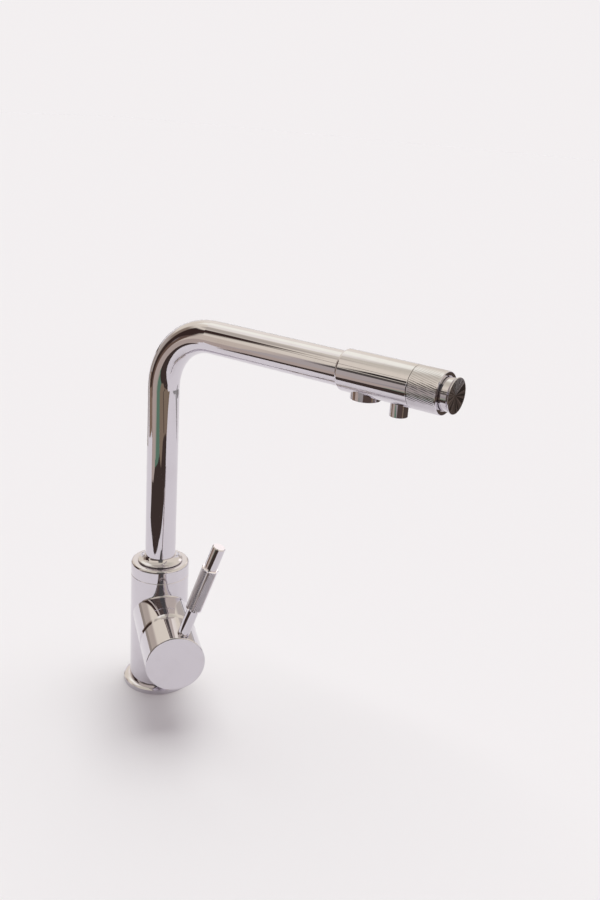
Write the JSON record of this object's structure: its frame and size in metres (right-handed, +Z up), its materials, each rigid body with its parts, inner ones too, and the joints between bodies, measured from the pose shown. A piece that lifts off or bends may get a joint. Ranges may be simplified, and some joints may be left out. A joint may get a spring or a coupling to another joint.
{
  "type": "three-way kitchen faucet",
  "caption": "Chrome deck-mounted kitchen mixer with a side lever, a swivelling bent spout, and a knurled end knob that opens a separate filtered-water outlet under the head.",
  "frame": {"origin": "middle of the foot, on the worktop, at the mouth of the central stud hole", "axes": "+Z up along the column, +X along the spout at rest; the lever's housing points 39 degrees from +X towards -Y"},
  "size_m": [0.2806, 0.1041, 0.3267],
  "materials": {
    "chrome": "mirror-polished chrome plate",
    "brass": "turned brass",
    "steel": "plain stainless steel",
    "rubber": "matt black rubber",
    "ceramic": "lapped white ceramic",
    "plastic": "moulded acetal"
  },
  "bodies": {
    "column": {"base_ring": "chrome", "base_gasket": "rubber", "faucet_body": "chrome", "collar_cap": "chrome", "spout_bush": "plastic", "lower_thrust_washer": "plastic", "upper_thrust_washer": "plastic", "swivel_stop_screw": "steel", "filter_tube_oring": "rubber", "dome_ring": "chrome", "cartridge_nut": "brass", "cartridge_housing": "plastic", "cartridge_base": "plastic", "cartridge_seals": "rubber", "fixed_disc": "ceramic"},
    "spout": {"spout_spigot": "brass", "spout_orings": "rubber", "spout_tube": "chrome", "filter_tube": "steel", "spout_collar": "chrome", "spout_head": "chrome", "main_nozzle": "chrome", "aerator_seal": "rubber", "aerator_insert": "plastic", "aerator_screen": "steel", "filter_nozzle": "chrome", "flow_straightener": "plastic", "valve_body": "brass", "valve_seal": "rubber", "valve_fixed_disc": "ceramic"},
    "filter_knob": {"knob_ring": "chrome", "knob_end_cap": "chrome", "knob_screw": "steel", "valve_spindle": "brass", "spindle_oring": "rubber", "spindle_clip": "steel", "valve_moving_disc": "ceramic"},
    "temperature_rotor": {"stem_rotor": "plastic", "stem_pivot_pin": "steel"},
    "lever": {"cartridge_stem": "brass", "handle_cap": "chrome", "handle_grub_screw": "steel", "lever_rod": "chrome", "lever_grip": "chrome", "lever_tip": "chrome"},
    "mixing_disc": {"moving_disc": "ceramic", "disc_carrier": "plastic"}
  },
  "joints": [
    {"name": "spout_swivel", "type": "hinge", "parent": "column", "child": "spout", "pos_m": [0, 0, 0.11], "axis": [0, 0, 1], "range_deg": [-24, 126]},
    {"name": "filter_knob_turn", "type": "hinge", "parent": "spout", "child": "filter_knob", "pos_m": [0.235, 0, 0.312], "axis": [1, 0, 0], "range_deg": [0, 90]},
    {"name": "lever_temperature", "type": "hinge", "parent": "column", "child": "temperature_rotor", "pos_m": [0, 0, 0.0675], "axis": [0.7771, -0.6293, 0], "range_deg": [-28.5, 61.5]},
    {"name": "lever_lift", "type": "hinge", "parent": "temperature_rotor", "child": "lever", "pos_m": [0.03691, -0.02989, 0.0675], "axis": [0.6034, 0.7451, -0.284], "range_deg": [0, 25]},
    {"name": "mixing_disc_slide", "type": "slide", "parent": "temperature_rotor", "child": "mixing_disc", "axis": [0.1787, 0.2207, 0.9588], "range_m": [0, 0.00394]}
  ],
  "couplings": [
    {"joint": "mixing_disc_slide", "follows": "lever_lift", "m_per_rad": 0.009}
  ]
}
